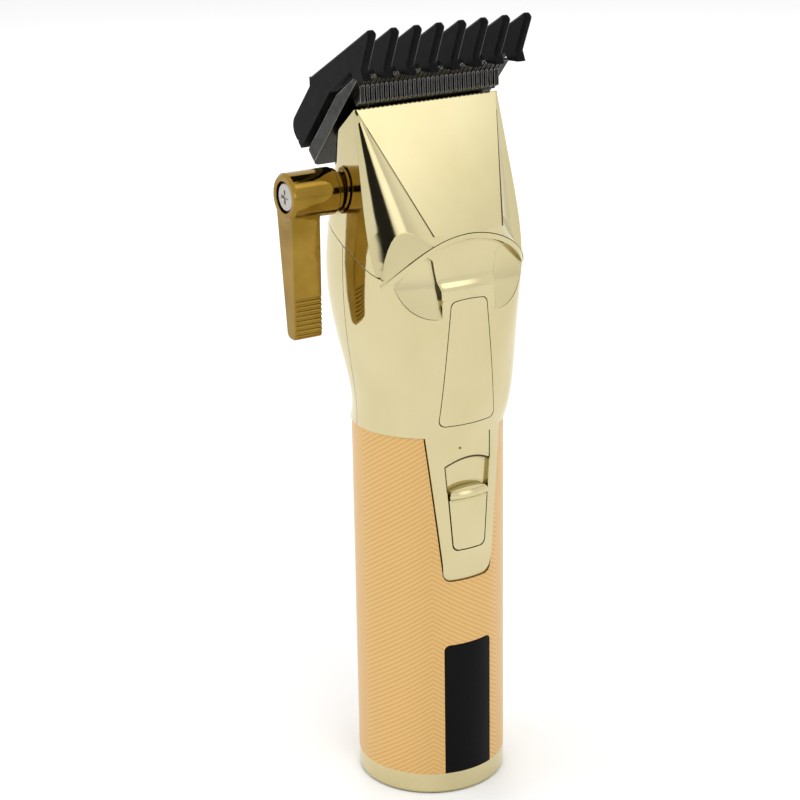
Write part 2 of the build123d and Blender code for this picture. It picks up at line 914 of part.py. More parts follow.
with BuildPart() as motor_screws:
    with BuildSketch(Plane.XY.offset(bracket_top)):
        with GridLocations(motor_screw_spacing, far, 2, 1):
            Circle(motor_screw_radius - snug)
    extrude(amount=-bracket_plate - motor_screw_depth + running)
    with BuildSketch(Plane.XY.offset(bracket_top)):
        with GridLocations(motor_screw_spacing, far, 2, 1):
            Circle(motor_screw_head)
    extrude(amount=motor_screw_radius)
    fillet(edges().group_by(Axis.Z)[-1], motor_screw_radius / 2)

shaft_bottom = bracket_top + motor_nose_height - shaft_depth
with BuildPart() as motor_shaft:
    with BuildSketch(Plane.XY.offset(shaft_bottom)):
        Circle(shaft_radius)
    extrude(amount=crank_top - crank_web - shaft_bottom)

with BuildPart() as drive_eccentric:
    with BuildSketch(Plane.XY.offset(crank_bottom)):
        Circle(crank_radius)
    extrude(amount=crank_height)
    chamfer(edges().group_by(Axis.Z)[0], slip)
    with BuildSketch(Plane.XY.offset(crank_bottom)):
        Circle(shaft_radius + snug)
    extrude(amount=crank_height - crank_web, mode=Mode.SUBTRACT)
    with BuildSketch(Plane.XY.offset(crank_top)):
        with Locations((0, -crank_throw)):
            Circle(drive_pin_radius + snug)
    extrude(amount=crank_floor - crank_web, mode=Mode.SUBTRACT)
    with BuildSketch(Plane.XY.offset(crank_top)):
        with Locations((0, -crank_radius)):
            Circle(crank_notch)
    extrude(amount=-crank_height, mode=Mode.SUBTRACT)

with BuildPart() as drive_pin:
    with BuildSketch(Plane.XY.offset(crank_top - crank_web + crank_floor)):
        with Locations((0, -crank_throw)):
            Circle(drive_pin_radius)
    extrude(amount=crank_web - crank_floor + drive_pin_reach)
    fillet(edges().group_by(Axis.Z)[-1], drive_pin_radius / 2)

# Taper lever

with BuildPart() as lever_bush:
    with BuildSketch(Plane.YZ.offset(bush_inner_x)):
        with Locations((lever_y, lever_z)):
            Circle(bush_radius)
    extrude(amount=bush_outer_x - bush_inner_x)
    with BuildSketch(Plane.YZ.offset(bush_outer_x)):
        with Locations((lever_y, lever_z)):
            Circle(bush_flange)
    extrude(amount=-bush_flange_thickness)
    with BuildSketch(Plane.YZ.offset(bush_inner_x)):
        with Locations((lever_y, lever_z)):
            Circle(lever_shaft_radius + running)
    extrude(amount=bush_outer_x - bush_inner_x - bush_flange_thickness, mode=Mode.SUBTRACT)

lever_bore = lever_disc(lever_shaft_radius + snug, lever_shaft_outer_x, lever_inner_x)
lever_screw_hole = lever_disc(lever_screw_radius + snug, lever_outer_x, lever_inner_x)
lever_recess = lever_disc(lever_recess_radius, lever_outer_x, lever_outer_x + lever_recess_depth)
lever_front_slope = (lever_front_top - lever_front_end) / lever_arm_length
lever_grooves = []
for rib in range(lever_rib_count):
    rib_rise = lever_end_round + lever_rib_pitch * rib
    rib_y = lever_y - lever_front_end - lever_front_slope * rib_rise
    lever_grooves.append((lever_arm_outer_x, rib_y, lever_z - lever_arm_length + rib_rise))
lever_root = lever_boss_radius - seam
with BuildPart() as lever_arm:
    with BuildSketch(Plane.YZ.offset(lever_arm_outer_x)):
        with Locations((lever_y, lever_z)):
            Circle(lever_root)
        with BuildLine():
            Polyline(
                (lever_y - lever_front_top, lever_z),
                (lever_y - lever_front_end, lever_z - lever_arm_length),
                (lever_y + lever_back_end, lever_z - lever_arm_length),
                (lever_y + lever_root, lever_z),
                close=True,
            )
        make_face()
        fillet(vertices().group_by(Axis.Y)[0], lever_end_round)
        fillet(vertices().sort_by(Axis.X)[0], lever_neck_round)
    extrude(amount=lever_arm_inner_x - lever_arm_outer_x)
    fillet(edges().group_by(Axis.X)[0], lever_edge_round)
    with Locations(lever_grooves):
        Box(far, 2 * lever_rib_depth, lever_rib_pitch / 2, mode=Mode.SUBTRACT)

with BuildPart() as taper_lever:
    with BuildSketch(Plane.YZ.offset(lever_outer_x)):
        with Locations((lever_y, lever_z)):
            Circle(lever_boss_radius)
    extrude(amount=lever_inner_x - lever_outer_x)
    chamfer(edges().group_by(Axis.X)[0], lever_edge_round)
    add(lever_arm.part)
    add(lever_recess, mode=Mode.SUBTRACT)
    add(lever_screw_hole, mode=Mode.SUBTRACT)
    add(lever_bore, mode=Mode.SUBTRACT)

lever_crank_y = lever_y + lever_crank_offset.Y
lever_crank_z = lever_z + lever_crank_offset.Z
with BuildPart() as lever_shaft:
    with BuildSketch(Plane.YZ.offset(lever_shaft_outer_x + running)):
        with Locations((lever_y, lever_z)):
            Circle(lever_shaft_radius)
    extrude(amount=lever_shaft_end_x - lever_shaft_outer_x - running)
    with BuildSketch(Plane.YZ.offset(lever_shaft_end_x)):
        with Locations((lever_crank_y, lever_crank_z)):
            Circle(crank_pin_radius)
    extrude(amount=crank_pin_end_x - lever_shaft_end_x)
    with BuildSketch(Plane.YZ.offset(lever_shaft_outer_x)):
        with Locations((lever_y, lever_z)):
            Circle(lever_screw_radius)
    extrude(amount=lever_screw_depth + running, mode=Mode.SUBTRACT)

lever_recess_floor = lever_outer_x + lever_recess_depth
with BuildPart() as lever_screw:
    with BuildSketch(Plane.YZ.offset(lever_recess_floor)):
        with Locations((lever_y, lever_z)):
            Circle(lever_screw_radius - snug)
    extrude(amount=lever_shaft_outer_x + lever_screw_depth - lever_recess_floor)
    with BuildSketch(Plane.YZ.offset(lever_recess_floor)):
        with Locations((lever_y, lever_z)):
            Circle(lever_screw_head)
    extrude(amount=-lever_recess_depth + slip)
    fillet(edges().group_by(Axis.X)[0], lever_screw_slot / 2)
    with Locations((lever_outer_x + slip, lever_y, lever_z)):
        Box(lever_screw_slot, lever_screw_head, lever_screw_slot, mode=Mode.SUBTRACT)
        Box(lever_screw_slot, lever_screw_slot, lever_screw_head, mode=Mode.SUBTRACT)

# Blade set

tooth_count = int((cutter_tooth_half_width * 2 - tooth_gap) / tooth_pitch)
cutter_teeth = toothed_plate(
    cutter_tooth_half_width,
    cutter_shelf_t,
    cutter_tip_t,
    cutter_slot_t,
    cutter_bottom_n - cutter_lip_drop,
    cutter_top_n,
    tooth_count,
)
cutter_body = blade_box(
    -cutter_half_width, cutter_half_width, cutter_rear_t, cutter_slot_t, cutter_bottom_n, cutter_top_n
)
cutter_profile = blade_prism(
    [
        (cutter_rear_t, cutter_bottom_n),
        (cutter_lip_t, cutter_bottom_n),
        (cutter_lip_t, cutter_bottom_n - cutter_lip_drop),
        (cutter_tip_t - cutter_thickness - cutter_lip_drop, cutter_bottom_n - cutter_lip_drop),
        (cutter_tip_t, cutter_top_n),
        (cutter_rear_t, cutter_top_n),
    ],
    -far,
    far,
)
with BuildPart() as cutter_blade:
    add(cutter_teeth)
    add(cutter_body)
    add(cutter_profile, mode=Mode.INTERSECT)

blade_tooth_count = int((blade_half_width * 2 - tooth_gap) / tooth_pitch) - 1
blade_plate = toothed_plate(
    blade_half_width,
    blade_heel_t,
    blade_tip_t,
    blade_slot_t,
    blade_bottom_n,
    blade_top_n,
    blade_tooth_count,
)
blade_profile = blade_prism(
    [
        (blade_heel_t, blade_bottom_n),
        (blade_tip_t, blade_bottom_n),
        (blade_tip_t, blade_bottom_n + blade_tip_thickness),
        (blade_taper_t, blade_top_n),
        (blade_heel_t, blade_top_n),
    ],
    -far,
    far,
)
blade_screw_x = (rail_inner + rail_outer) / 2
with BuildPart() as fixed_blade:
    add(blade_plate)
    add(blade_profile, mode=Mode.INTERSECT)
    with Locations(blade_frame.offset(blade_top_n)):
        with Locations((-blade_screw_x, blade_screw_t), (blade_screw_x, blade_screw_t)):
            CounterSinkHole(blade_screw_radius + running, blade_screw_head + running)
    upright_edges = edges().filter_by(Axis(blade_frame.origin, blade_frame.z_dir))
    fillet(upright_edges.sort_by(Axis(blade_frame.origin, blade_frame.y_dir))[:2], blade_corner)

with BuildPart() as blade_bracket:
    with BuildSketch(blade_frame.offset(frame_top_n)):
        with Locations((0, bracket_rear_t)):
            Rectangle(
                2 * rail_outer, bracket_front_t - bracket_rear_t, align=(Align.CENTER, Align.MIN)
            )
        with Locations((-blade_screw_x, blade_screw_t), (blade_screw_x, blade_screw_t)):
            Circle(blade_screw_radius + running, mode=Mode.SUBTRACT)
    extrude(amount=blade_bottom_n - frame_top_n)

frame_low_n = frame_top_n - frame_depth
frame_rails = [
    blade_box(-rail_outer, -rail_inner, rail_rear_t, rail_front_t, frame_low_n, frame_top_n),
    blade_box(rail_inner, rail_outer, rail_rear_t, rail_front_t, frame_low_n, frame_top_n),
]
frame_tie = blade_box(-rail_outer, rail_outer, tie_rear_t, tie_front_t, tie_low_n, tie_high_n)
frame_ears = [
    blade_box(-ear_half_width, -rail_outer, ear_rear_t, ear_front_t, ear_low_n, ear_high_n),
    blade_box(rail_outer, ear_half_width, ear_rear_t, ear_front_t, ear_low_n, ear_high_n),
]
with BuildPart() as head_frame:
    add(frame_rails)
    add(frame_tie)
    add(frame_ears)
    with BuildSketch(blade_frame.offset(frame_top_n)):
        with Locations((-blade_screw_x, blade_screw_t), (blade_screw_x, blade_screw_t)):
            Circle(blade_screw_radius + snug)
    extrude(amount=-frame_depth, mode=Mode.SUBTRACT)

with BuildPart() as blade_screws:
    with BuildSketch(blade_frame.offset(blade_top_n - seam)):
        with Locations((-blade_screw_x, blade_screw_t), (blade_screw_x, blade_screw_t)):
            Circle(blade_screw_radius)
    extrude(amount=frame_low_n + seam - blade_top_n + slip)
    with BuildSketch(blade_frame.offset(blade_top_n - seam)):
        with Locations((-blade_screw_x, blade_screw_t), (blade_screw_x, blade_screw_t)):
            Circle(blade_screw_head - seam)
    extrude(amount=blade_screw_radius - blade_screw_head + seam, taper=45)

# Carriage and yoke

fork_middle_t = lever_t + crank_pin_throw * cos(radians(crank_pin_lead))
fork_gap = crank_pin_radius + running
carriage_blocks = [
    blade_box(-arm_outer, -arm_inner, arm_rear_t, arm_front_t, arm_low_n, arm_high_n),
    blade_box(arm_inner, arm_outer, arm_rear_t, arm_front_t, arm_low_n, arm_high_n),
    blade_box(-arm_outer, arm_outer, bar_rear_t, bar_front_t, bar_low_n, arm_low_n),
    blade_box(
        fork_outer_x,
        fork_inner_x,
        fork_middle_t - fork_gap - fork_prong,
        bar_rear_t + fork_prong,
        fork_roof_low_n,
        fork_roof_high_n,
    ),
    blade_box(
        fork_outer_x,
        fork_inner_x,
        fork_middle_t - fork_gap - fork_prong,
        fork_middle_t - fork_gap,
        fork_low_n,
        fork_roof_high_n,
    ),
    blade_box(
        fork_outer_x,
        fork_inner_x,
        fork_middle_t + fork_gap,
        bar_rear_t,
        fork_low_n,
        fork_roof_high_n,
    ),
]
with BuildPart() as cutter_carriage:
    add(carriage_blocks)

leaf_middle = (arm_inner + arm_outer) / 2
with BuildPart() as tension_spring:
    with BuildSketch(blade_frame.offset(arm_high_n)):
        for side in (-1, 1):
            with Locations((side * leaf_middle, leaf_rear_t)):
                Rectangle(
                    arm_outer - arm_inner, arm_front_t - leaf_rear_t, align=(Align.CENTER, Align.MIN)
                )
    extrude(amount=leaf_thickness)
    with BuildSketch(blade_frame.offset(arm_high_n + leaf_thickness)):
        for side in (-1, 1):
            with Locations((side * leaf_middle, leaf_button_t)):
                Circle(leaf_button_radius)
    extrude(amount=cutter_bottom_n - running - arm_high_n - leaf_thickness)

yoke_plate = blade_box(
    -yoke_leg_outer, yoke_leg_outer, yoke_plate_rear_t, yoke_plate_front_t, yoke_plate_n, cutter_bottom_n
)
yoke_rear = blade_side.from_local_coords(Vector(yoke_plate_rear_t, (yoke_plate_n + cutter_bottom_n) / 2))
yoke_front = blade_side.from_local_coords(Vector(yoke_plate_front_t, (yoke_plate_n + cutter_bottom_n) / 2))
yoke_foot_z = sleeve_top + yoke_leg_foot_rise
yoke_knee_z = sleeve_top + yoke_leg_knee_rise
yoke_leg_outline = [
    (-yoke_leg_half_depth, yoke_foot_z),
    (yoke_leg_half_depth, yoke_foot_z),
    (yoke_rear.Y, yoke_rear.Z),
    (yoke_front.Y, yoke_front.Z),
    (-yoke_leg_half_depth, yoke_knee_z),
]
with BuildPart() as cutter_yoke:
    add(yoke_plate)
    for side in (-1, 1):
        with BuildSketch(Plane.YZ.offset(side * yoke_leg_inner)):
            with BuildLine():
                Polyline(*yoke_leg_outline, close=True)
            make_face()
        extrude(amount=side * (yoke_leg_outer - yoke_leg_inner))

# Guide comb

comb_inner_n = clip_top_n
comb_taper_n = comb_inner_n + blade_tip_thickness - blade_thickness
tooth_outline = [
    (comb_tip_t, comb_tip_n),
    (comb_heel_t, comb_heel_n),
    (comb_heel_t, comb_inner_n),
    (blade_taper_t, comb_inner_n),
    (comb_throat_t, comb_taper_n),
    (comb_throat_t, comb_throat_n),
    (comb_nub_t, comb_nub_n),
    (comb_beak_t, comb_beak_n),
]
arm_outline = [
    (comb_heel_t, comb_heel_n),
    (comb_heel_t + comb_heel_n - comb_arm_n, comb_inner_n),
    (comb_arm_end_t, comb_inner_n),
    (comb_arm_end_t, comb_arm_n),
    (comb_heel_t - comb_heel_n + comb_arm_n, comb_arm_n),
]


def comb_fin(middle_x):
    """One tooth of the comb, thinned along its front and top edges."""
    with BuildPart() as fin:
        with BuildSketch(blade_side.offset(-middle_x - comb_tooth / 2)):
            with BuildLine():
                Polyline(*tooth_outline, close=True)
            make_face()
            fillet(vertices().sort_by(Axis.X)[-1], comb_tip_round)
        extrude(amount=comb_tooth)
        thinned = []
        for edge in faces().filter_by(Axis.X).edges():
            place = blade_side.to_local_coords(edge.center())
            if place.X + place.Y > comb_beak_t + comb_plate_thickness:
                thinned.append(edge)
        chamfer(thinned, comb_edge)
    return fin.part


comb_half_span = comb_pitch * (comb_count - 1) / 2
comb_half_width = comb_half_span + comb_tooth / 2
comb_fins = [comb_fin(comb_pitch * tooth - comb_half_span) for tooth in range(comb_count)]
with BuildPart() as guide_comb:
    add(comb_fins)
    with BuildSketch(blade_frame.offset(comb_inner_n)):
        with Locations((0, comb_arm_end_t)):
            Rectangle(
                2 * comb_half_width,
                comb_plate_front_t - comb_arm_end_t,
                align=(Align.CENTER, Align.MIN),
            )
    extrude(amount=comb_plate_thickness)
    for arm_x in (-comb_half_span, comb_half_span):
        with BuildSketch(blade_side.offset(-arm_x - comb_tooth / 2)):
            with BuildLine():
                Polyline(*arm_outline, close=True)
            make_face()
            fillet(vertices().group_by(Axis.X)[0], comb_arm_round)
        extrude(amount=comb_tooth)

with BuildPart() as comb_clip:
    with BuildSketch(blade_frame.offset(clip_bottom_n)):
        with Locations((0, clip_tab_t)):
            Rectangle(2 * clip_half_width, clip_front_t - clip_tab_t, align=(Align.CENTER, Align.MIN))
        with Locations((0, clip_rear_t)):
            Rectangle(2 * clip_tab_half_width, clip_tab_t - clip_rear_t, align=(Align.CENTER, Align.MIN))
    extrude(amount=clip_thickness)

pieces = {
    "base_cap": base_cap,
    "charge_socket": charge_socket,
    "grip_sleeve": grip_sleeve,
    "display_window": display_window,
    "chassis": chassis,
    "battery_cell": battery_cell,
    "main_board": main_board,
    "display_module": display_module,
    "switch_block": switch_block,
    "front_shell": front_shell,
    "rear_shell": rear_shell,
    "shell_screws": shell_screws,
    "thumb_plate": thumb_plate,
    "head_cover": head_cover,
    "power_switch": power_switch,
    "motor_can": motor_can,
    "motor_bracket": motor_bracket,
    "motor_screws": motor_screws,
    "motor_shaft": motor_shaft,
    "drive_eccentric": drive_eccentric,
    "drive_pin": drive_pin,
    "lever_bush": lever_bush,
    "taper_lever": taper_lever,
    "lever_shaft": lever_shaft,
    "lever_screw": lever_screw,
    "head_frame": head_frame,
    "blade_bracket": blade_bracket,
    "fixed_blade": fixed_blade,
    "blade_screws": blade_screws,
    "cutter_carriage": cutter_carriage,
    "tension_spring": tension_spring,
    "cutter_blade": cutter_blade,
    "cutter_yoke": cutter_yoke,
    "guide_comb": guide_comb,
    "comb_clip": comb_clip,
}
os.makedirs("parts", exist_ok=True)
for name, piece in pieces.items():
    piece.part.label = name
    export_step(piece.part, f"parts/{name}.step")
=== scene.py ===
"""Looks of the cordless hair clipper: plated gold body, peach sleeve, black comb and blades."""

from math import cos, pi, radians, sin, sqrt, tan

import bmesh
import bpy
from mathutils import Matrix, Vector


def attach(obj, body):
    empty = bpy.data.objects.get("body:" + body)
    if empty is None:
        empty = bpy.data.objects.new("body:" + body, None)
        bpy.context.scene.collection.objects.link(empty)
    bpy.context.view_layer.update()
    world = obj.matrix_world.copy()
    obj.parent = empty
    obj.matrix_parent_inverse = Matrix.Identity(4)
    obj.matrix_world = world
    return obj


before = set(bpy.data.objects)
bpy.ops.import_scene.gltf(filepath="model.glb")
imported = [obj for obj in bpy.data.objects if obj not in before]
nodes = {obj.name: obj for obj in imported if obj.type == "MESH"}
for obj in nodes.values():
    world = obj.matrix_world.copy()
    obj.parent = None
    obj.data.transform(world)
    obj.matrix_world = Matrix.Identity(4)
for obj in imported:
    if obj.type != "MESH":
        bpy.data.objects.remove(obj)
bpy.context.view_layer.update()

# Sizes of the materials and the stage in metres
MM = 0.001
SMOOTH_ANGLE = radians(28)

# Colours in linear light
GOLD = (0.655, 0.58, 0.345)
GOLD_WARM = (0.60, 0.525, 0.29)
# Painted shade: gold darkened in its corners and seams
GOLD_PAINTED_SHADE = (0.25, 0.205, 0.06)
DEEP_GOLD = (0.33, 0.205, 0.035)
DEEP_GOLD_DARK = (0.235, 0.14, 0.018)
# Painted shade: deep gold darkened in its corners and seams
DEEP_GOLD_PAINTED_SHADE = (0.09, 0.05, 0.008)
PEACH = (0.70, 0.445, 0.172)
PEACH_DARK = (0.585, 0.35, 0.118)
BLACK = (0.0035, 0.0035, 0.004)
BLACK_WORN = (0.007, 0.007, 0.0075)
BLACK_EDGE = (0.012, 0.012, 0.013)
WINDOW = (0.0040, 0.0036, 0.0042)
WINDOW_DEEP = (0.0028, 0.0025, 0.0030)
DARK_STEEL = (0.020, 0.0195, 0.018)
DARK_STEEL_GROUND = (0.060, 0.058, 0.053)
DARK_STEEL_EDGE = (0.85, 0.82, 0.78)
STEEL = (0.58, 0.54, 0.50)
STEEL_DARK = (0.38, 0.36, 0.34)
GREY = (0.50, 0.50, 0.48)
GREY_DARK = (0.40, 0.40, 0.39)
BOARD = (0.012, 0.085, 0.030)
BOARD_TRACE = (0.030, 0.170, 0.065)
CELL = (0.020, 0.080, 0.240)
CELL_DARK = (0.014, 0.055, 0.180)
# Painted shadow: tones of the dark lines and walls that stand in for shade in steps and gaps
SHADOW_LINE_TONE = (0.075, 0.060, 0.022)
SHADOW_LINE_DARK = (0.045, 0.035, 0.012)
FLOOR = (0.96, 0.96, 0.96)

# What the materials share
# Painted shade: reach and samples of the darkening painted into corners and seams
PAINTED_SHADE_REACH = 1.2 * MM
PAINTED_SHADE_SAMPLES = 8
EDGE_SAMPLES = 6
WORN_SAMPLES = 4
# Cosine of the turn at an edge: not worn above the first, fully worn below the second
WORN_NONE = 0.98
WORN_FULL = 0.80
NOISE_DETAIL = 3.0
GRAIN_DETAIL = 6.0
# Sockets of a Mix node that takes colours
MIX_COLOURS = slice(6, 8)
MIX_RESULT = 2

# Sleeve
HANDLE_RADIUS = 19.0 * MM
LINE_PITCH = 1.05 * MM
LINE_SLOPE = radians(33)
LINE_BAND = radians(60)
LINE_DEPTH = 0.05 * MM
LINE_SHARE = 0.8
LINE_RAMP_END = 0.75
SATIN_SCALE = 0.9
SATIN_DETAIL = 5.0
SLEEVE_METALLIC = 0.65
SLEEVE_ROUGHNESS = (0.26, 0.42)

# Blades
GRIND_STRETCH = (4.0, 0.25, 0.25)
GRIND_SCALE = 1.6
GRIND_DETAIL = 4.0
GRIND_RAMP = (0.35, 0.75)
GRIND_ROUGHNESS = (0.24, 0.42)
GRIND_DEPTH = 0.02 * MM
GRIND_WORN_RADIUS = 0.13 * MM
GRIND_EDGE = 0.06 * MM

# Circuit board
BOARD_ROUGHNESS = 0.35
TRACE_SCALE = 0.35
TRACE_WIDTH = 0.06
TRACE_DEPTH = 0.03 * MM

# Reflections of plastic
BLACK_SPECULAR = 0.05
WINDOW_SPECULAR = 0.07


class Nodes:
    """Short way to add and join a material's nodes."""

    def __init__(self, name):
        self.material = bpy.data.materials.new(name)
        self.material.use_nodes = True
        self.tree = self.material.node_tree
        self.shader = self.tree.nodes["Principled BSDF"]

    def add(self, kind, **settings):
        node = self.tree.nodes.new("ShaderNode" + kind)
        for key, value in settings.items():
            setattr(node, key, value)
        return node

    def join(self, source, target):
        self.tree.links.new(source, target)

    def math(self, operation, *values):
        """Result of an operation on numbers and other nodes' outputs."""
        node = self.add("Math", operation=operation)
        for socket, value in zip(node.inputs, values):
            if isinstance(value, (int, float)):
                socket.default_value = value
            else:
                self.join(value, socket)
        return node.outputs[0]

    def place(self, stretch=(1, 1, 1)):
        """Object coordinates in millimetres, squeezed along each axis."""
        coordinates = self.add("TexCoord")
        mapping = self.add("Mapping")
        mapping.inputs["Scale"].default_value = [factor / MM for factor in stretch]
        self.join(coordinates.outputs["Object"], mapping.inputs["Vector"])
        return mapping.outputs["Vector"]

    def noise(self, vector, scale, detail=NOISE_DETAIL):
        node = self.add("TexNoise")
        node.inputs["Scale"].default_value = scale
        node.inputs["Detail"].default_value = detail
        self.join(vector, node.inputs["Vector"])
        return node.outputs["Fac"]

    def between(self, factor, low, high):
        """A value that runs from low to high with the factor."""
        node = self.add("MapRange")
        node.inputs["To Min"].default_value = low
        node.inputs["To Max"].default_value = high
        self.join(factor, node.inputs["Value"])
        return node.outputs["Result"]

    def colours(self, factor, low, high, start=0.3, end=0.7):
        """A colour that runs from low to high between two values of the factor."""
        ramp = self.add("ValToRGB")
        first, last = ramp.color_ramp.elements
        first.position, first.color = start, (*low, 1)
        last.position, last.color = end, (*high, 1)
        self.join(factor, ramp.inputs["Fac"])
        return ramp.outputs["Color"]

    def bump(self, height, distance, edge=0.0):
        """Height as a bump in metres, over edges that are softened by a small radius."""
        node = self.add("Bump")
        node.inputs["Distance"].default_value = distance
        self.join(height, node.inputs["Height"])
        if edge:
            bevel = self.add("Bevel", samples=EDGE_SAMPLES)
            bevel.inputs["Radius"].default_value = edge
            self.join(bevel.outputs["Normal"], node.inputs["Normal"])
        self.join(node.outputs["Normal"], self.shader.inputs["Normal"])

    def mix(self, factor, low, high):
        """Colour between two, each a colour or another node's output."""
        node = self.add("Mix", data_type="RGBA")
        for socket, value in zip(node.inputs[MIX_COLOURS], (low, high)):
            if isinstance(value, tuple):
                socket.default_value = (*value, 1)
            else:
                self.join(value, socket)
        self.join(factor, node.inputs[0])
        return node.outputs[MIX_RESULT]

    def open_air(self, distance):
        """Near 0 in a seam or a corner, and 1 where nothing stands within the distance: the mask
        for painted shade.
        """
        node = self.add("AmbientOcclusion", samples=PAINTED_SHADE_SAMPLES)
        node.inputs["Distance"].default_value = distance
        return node.outputs["AO"]

    def worn_edge(self, radius):
        """Rises towards 1 along sharp edges, within the radius of them."""
        bevel = self.add("Bevel", samples=WORN_SAMPLES)
        bevel.inputs["Radius"].default_value = radius
        flat = self.add("NewGeometry")
        dot = self.add("VectorMath", operation="DOT_PRODUCT")
        self.join(bevel.outputs["Normal"], dot.inputs[0])
        self.join(flat.outputs["Normal"], dot.inputs[1])
        node = self.add("MapRange", clamp=True)
        node.inputs["From Min"].default_value = WORN_NONE
        node.inputs["From Max"].default_value = WORN_FULL
        self.join(dot.outputs["Value"], node.inputs["Value"])
        return node.outputs["Result"]

    def set(self, **values):
        for key, value in values.items():
            self.shader.inputs[key.replace("_", " ")].default_value = value


def finish_surface(
    name,
    low,
    high,
    roughness,
    metallic,
    scale,
    grain,
    depth,
    stretch=(1, 1, 1),
    edge=0.0,
    painted_corner_shade=None,
    worn=None,
):
    """Material with two mottled tones, uneven roughness and a fine grain.

    It may also have soft edges, painted shade that darkens its crevices and corners, and worn
    edges.
    """
    made = Nodes(name)
    made.set(Metallic=metallic)
    vector = made.place(stretch)
    mottle = made.noise(vector, scale)
    fine = made.noise(vector, grain, GRAIN_DETAIL)
    colour = made.colours(mottle, low, high)
    # Painted shade: the colour darkens where corners and seams hem the surface in
    if painted_corner_shade:
        colour = made.mix(made.open_air(PAINTED_SHADE_REACH), painted_corner_shade, colour)
    if worn:
        colour = made.mix(made.worn_edge(edge), colour, worn)
    made.join(colour, made.shader.inputs["Base Color"])
    made.join(made.between(fine, *roughness), made.shader.inputs["Roughness"])
    made.bump(fine, depth, edge)
    return made


def lined_sleeve():
    """Anodised sleeve with fine raised lines that change direction every sixth of a turn."""
    made = Nodes("lined_sleeve")
    made.set(Metallic=SLEEVE_METALLIC)
    coordinates = made.add("TexCoord")
    parts = made.add("SeparateXYZ")
    made.join(coordinates.outputs["Object"], parts.inputs["Vector"])
    forward = made.math("MULTIPLY", parts.outputs["Y"], -1.0)
    angle = made.math("ARCTAN2", parts.outputs["X"], forward)
    turned = made.math("ADD", angle, pi + LINE_BAND / 2)
    zigzag = made.math("PINGPONG", turned, LINE_BAND)
    rise = made.math("MULTIPLY", zigzag, -HANDLE_RADIUS * tan(LINE_SLOPE))
    height = made.math("ADD", parts.outputs["Z"], rise)
    phase = made.math("MULTIPLY", height, 2 * pi * cos(LINE_SLOPE) / LINE_PITCH)
    lines = made.math("MULTIPLY_ADD", made.math("SINE", phase), 0.5, 0.5)
    satin = made.noise(made.place(), SATIN_SCALE, SATIN_DETAIL)
    mixed = made.math(
        "ADD",
        made.math("MULTIPLY", lines, LINE_SHARE),
        made.math("MULTIPLY", satin, 1 - LINE_SHARE),
    )
    colour = made.colours(mixed, PEACH_DARK, PEACH, 0.0, LINE_RAMP_END)
    made.join(colour, made.shader.inputs["Base Color"])
    made.join(made.between(satin, *SLEEVE_ROUGHNESS), made.shader.inputs["Roughness"])
    made.bump(mixed, LINE_DEPTH)
    return made


def ground_blade(name):
    """Dark coated steel with grinding lines that run towards the tips, and bright edges."""
    made = Nodes(name)
    made.set(Metallic=1.0)
    streaks = made.noise(made.place(GRIND_STRETCH), GRIND_SCALE, GRIND_DETAIL)
    worn = made.worn_edge(GRIND_WORN_RADIUS)
    ground = made.colours(streaks, DARK_STEEL, DARK_STEEL_GROUND, *GRIND_RAMP)
    colour = made.mix(worn, ground, DARK_STEEL_EDGE)
    made.join(colour, made.shader.inputs["Base Color"])
    made.join(made.between(streaks, *GRIND_ROUGHNESS), made.shader.inputs["Roughness"])
    made.bump(streaks, GRIND_DEPTH, GRIND_EDGE)
    return made


def printed_board():
    """Green board with copper lines under the mask."""
    made = Nodes("printed_board")
    made.set(Roughness=BOARD_ROUGHNESS)
    tracks = made.add("TexBrick")
    tracks.inputs["Scale"].default_value = TRACE_SCALE
    tracks.inputs["Mortar Size"].default_value = TRACE_WIDTH
    tracks.inputs["Color1"].default_value = (*BOARD, 1)
    tracks.inputs["Color2"].default_value = (*BOARD, 1)
    tracks.inputs["Mortar"].default_value = (*BOARD_TRACE, 1)
    rotate = made.add("Mapping")
    rotate.inputs["Rotation"].default_value = (radians(90), 0, 0)
    made.join(made.place(), rotate.inputs["Vector"])
    made.join(rotate.outputs["Vector"], tracks.inputs["Vector"])
    made.join(tracks.outputs["Color"], made.shader.inputs["Base Color"])
    made.bump(tracks.outputs["Fac"], TRACE_DEPTH)
    return made


# Plated gold, with painted shade in its corners and seams
plated = finish_surface(
    "plated_gold",
    GOLD_WARM,
    GOLD,
    roughness=(0.05, 0.11),
    metallic=1.0,
    scale=0.05,
    grain=0.6,
    depth=0.002 * MM,
    edge=0.12 * MM,
    painted_corner_shade=GOLD_PAINTED_SHADE,
)
# Deep gold, with painted shade in its corners and seams
deep = finish_surface(
    "deep_gold",
    DEEP_GOLD_DARK,
    DEEP_GOLD,
    roughness=(0.05, 0.11),
    metallic=1.0,
    scale=0.12,
    grain=1.2,
    depth=0.006 * MM,
    edge=0.3 * MM,
    painted_corner_shade=DEEP_GOLD_PAINTED_SHADE,
)
black = finish_surface(
    "black_plastic",
    BLACK,
    BLACK_WORN,
    roughness=(0.34, 0.52),
    metallic=0.0,
    scale=0.3,
    grain=4.0,
    depth=0.02 * MM,
    edge=0.2 * MM,
    worn=BLACK_EDGE,
)
black.set(Specular_IOR_Level=BLACK_SPECULAR)
window = finish_surface(
    "smoked_window",
    WINDOW_DEEP,
    WINDOW,
    roughness=(0.10, 0.16),
    metallic=0.0,
    scale=0.06,
    grain=0.8,
    depth=0.001 * MM,
)
window.set(Specular_IOR_Level=WINDOW_SPECULAR)
steel = finish_surface(
    "bright_steel",
    STEEL_DARK,
    STEEL,
    roughness=(0.18, 0.32),
    metallic=1.0,
    scale=1.5,
    grain=3.0,
    depth=0.01 * MM,
    stretch=(1, 1, 5),
    edge=0.1 * MM,
)
